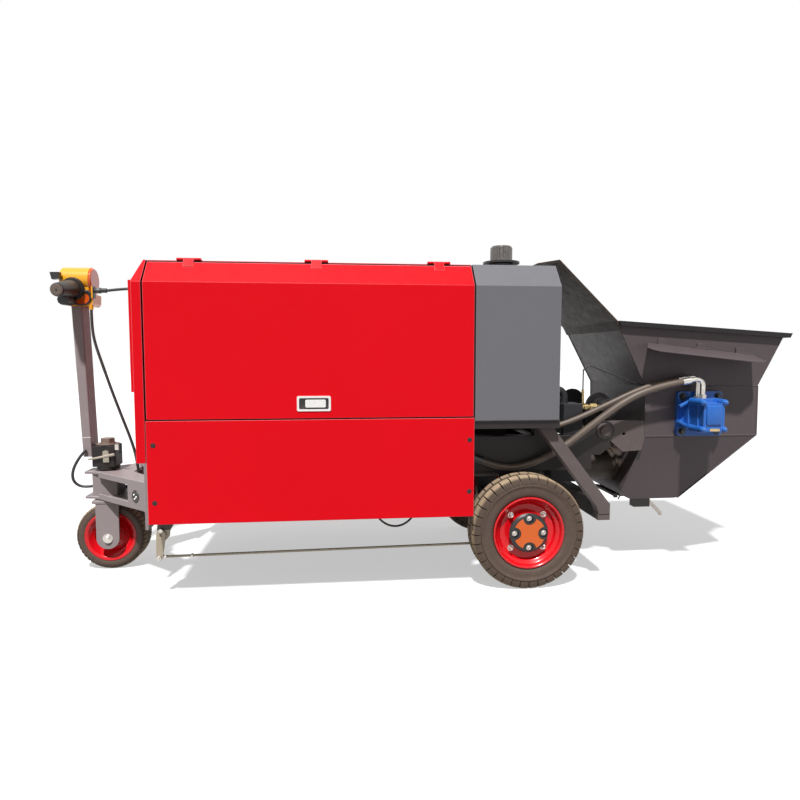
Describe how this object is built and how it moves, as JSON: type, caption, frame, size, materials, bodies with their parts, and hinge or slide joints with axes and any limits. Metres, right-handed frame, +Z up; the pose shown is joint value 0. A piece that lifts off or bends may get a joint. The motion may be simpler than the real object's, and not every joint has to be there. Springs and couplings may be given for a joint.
{
  "type": "walk-behind mobile concrete pump",
  "caption": "Walk-behind three-wheel concrete pump with a steered tiller, gull-wing engine housing, oil tank and rear hopper with S-valve.",
  "frame": {"origin": "on the ground under the middle of the whole machine", "axes": "+X towards the hopper at the rear, -X towards the tiller at the front, -Y the machine's left side, +Z up"},
  "size_m": [3.194, 1.006, 1.428],
  "materials": {
    "bare_steel": "brushed",
    "black_frame_paint": "satin",
    "black_plastic": "matt",
    "brass_fittings": "satin",
    "engine_paint": "matt",
    "hopper_paint": "satin",
    "hose_rubber": "matt",
    "hub_black": "satin",
    "latch_chrome": "polished",
    "motor_blue": "satin",
    "orange_lens": "gloss",
    "plated_fittings": "brushed",
    "red_paint": "gloss",
    "rim_red": "gloss",
    "steering_paint": "satin",
    "tank_paint": "satin",
    "tyre_rubber": "matt",
    "yellow_shell": "gloss"
  },
  "bodies": {
    "chassis": {"chassis_frame": "black_frame_paint", "front_frame": "steering_paint", "body_frame": "black_frame_paint", "engine_tray": "black_frame_paint", "nose_panel": "red_paint", "nose_louvre": "red_paint", "roof_panel": "red_paint", "left_lower_panel": "red_paint", "right_lower_panel": "red_paint", "engine_block": "engine_paint", "oil_tank": "tank_paint", "filler_cap": "black_plastic", "rear_axle": "black_frame_paint", "brake_linkage": "bare_steel", "hopper": "hopper_paint", "hopper_rim": "hopper_paint", "splash_plate": "hopper_paint", "hopper_ears": "hopper_paint", "port_plate": "bare_steel", "water_box": "black_frame_paint", "main_cylinders": "bare_steel", "swing_cylinders": "hopper_paint", "swing_unions": "brass_fittings", "valve_blocks": "black_frame_paint", "outlet_pipe": "bare_steel", "agitator_motor": "motor_blue", "motor_fittings": "plated_fittings", "motor_visor": "hopper_paint", "hose_lower": "hose_rubber", "hose_upper": "hose_rubber", "head_cable": "hose_rubber", "drop_cable": "hose_rubber", "foot_conduit": "hose_rubber", "belly_loop": "hose_rubber", "grease_pipe": "hose_rubber"},
    "left_door": {"left_door": "red_paint", "left_latch": "latch_chrome"},
    "right_door": {"right_door": "red_paint", "right_latch": "latch_chrome"},
    "steering": {"front_fork": "steering_paint", "tiller_foot": "steering_paint", "steering_lock": "plated_fittings", "tiller_column": "steering_paint", "tiller_head": "yellow_shell", "head_lens": "orange_lens", "tiller_grip": "black_plastic"},
    "front_wheel": {"front_tyre": "tyre_rubber", "front_rim": "rim_red"},
    "left_rear_wheel": {"left_rear_tyre": "tyre_rubber", "left_rear_rim": "rim_red", "left_hub_cap": "hub_black"},
    "right_rear_wheel": {"right_rear_tyre": "tyre_rubber", "right_rear_rim": "rim_red", "right_hub_cap": "hub_black"},
    "agitator": {"agitator": "bare_steel"},
    "s_valve": {"s_valve": "bare_steel"},
    "hopper_grate": {"hopper_grate": "hopper_paint"},
    "cleanout_door": {"cleanout_door": "hopper_paint"}
  },
  "joints": [
    {"name": "steering", "type": "hinge", "parent": "chassis", "child": "steering", "pos_m": [-1.418, 0, 0.44], "axis": [0, 0, 1], "range_deg": [-60, 60], "deforming": ["head_cable", "drop_cable", "foot_conduit"]},
    {"name": "front_wheel_spin", "type": "hinge", "parent": "steering", "child": "front_wheel", "pos_m": [-1.401, 0, 0.149], "axis": [0, 1, 0], "continuous": true},
    {"name": "left_rear_wheel_spin", "type": "hinge", "parent": "chassis", "child": "left_rear_wheel", "pos_m": [0.374, -0.413, 0.233], "axis": [0, 1, 0], "continuous": true},
    {"name": "right_rear_wheel_spin", "type": "hinge", "parent": "chassis", "child": "right_rear_wheel", "pos_m": [0.374, 0.413, 0.233], "axis": [0, 1, 0], "continuous": true},
    {"name": "left_door_hinge", "type": "hinge", "parent": "chassis", "child": "left_door", "pos_m": [-0.47, -0.426, 1.312], "axis": [-1, 0, 0], "range_deg": [0, 80]},
    {"name": "right_door_hinge", "type": "hinge", "parent": "chassis", "child": "right_door", "pos_m": [-0.47, 0.426, 1.312], "axis": [1, 0, 0], "range_deg": [0, 80]},
    {"name": "agitator_spin", "type": "hinge", "parent": "chassis", "child": "agitator", "pos_m": [1.17, 0, 0.696], "axis": [0, 1, 0], "continuous": true},
    {"name": "valve_swing", "type": "hinge", "parent": "chassis", "child": "s_valve", "pos_m": [0.9, 0, 0.541], "axis": [1, 0, 0], "range_deg": [0, 76.7]},
    {"name": "grate_hinge", "type": "hinge", "parent": "chassis", "child": "hopper_grate", "pos_m": [0.9, 0, 0.993], "axis": [0, -1, 0], "range_deg": [0, 105]},
    {"name": "cleanout_hinge", "type": "hinge", "parent": "chassis", "child": "cleanout_door", "pos_m": [0.908, 0, 0.29], "axis": [0, 1, 0], "range_deg": [0, 90]}
  ]
}
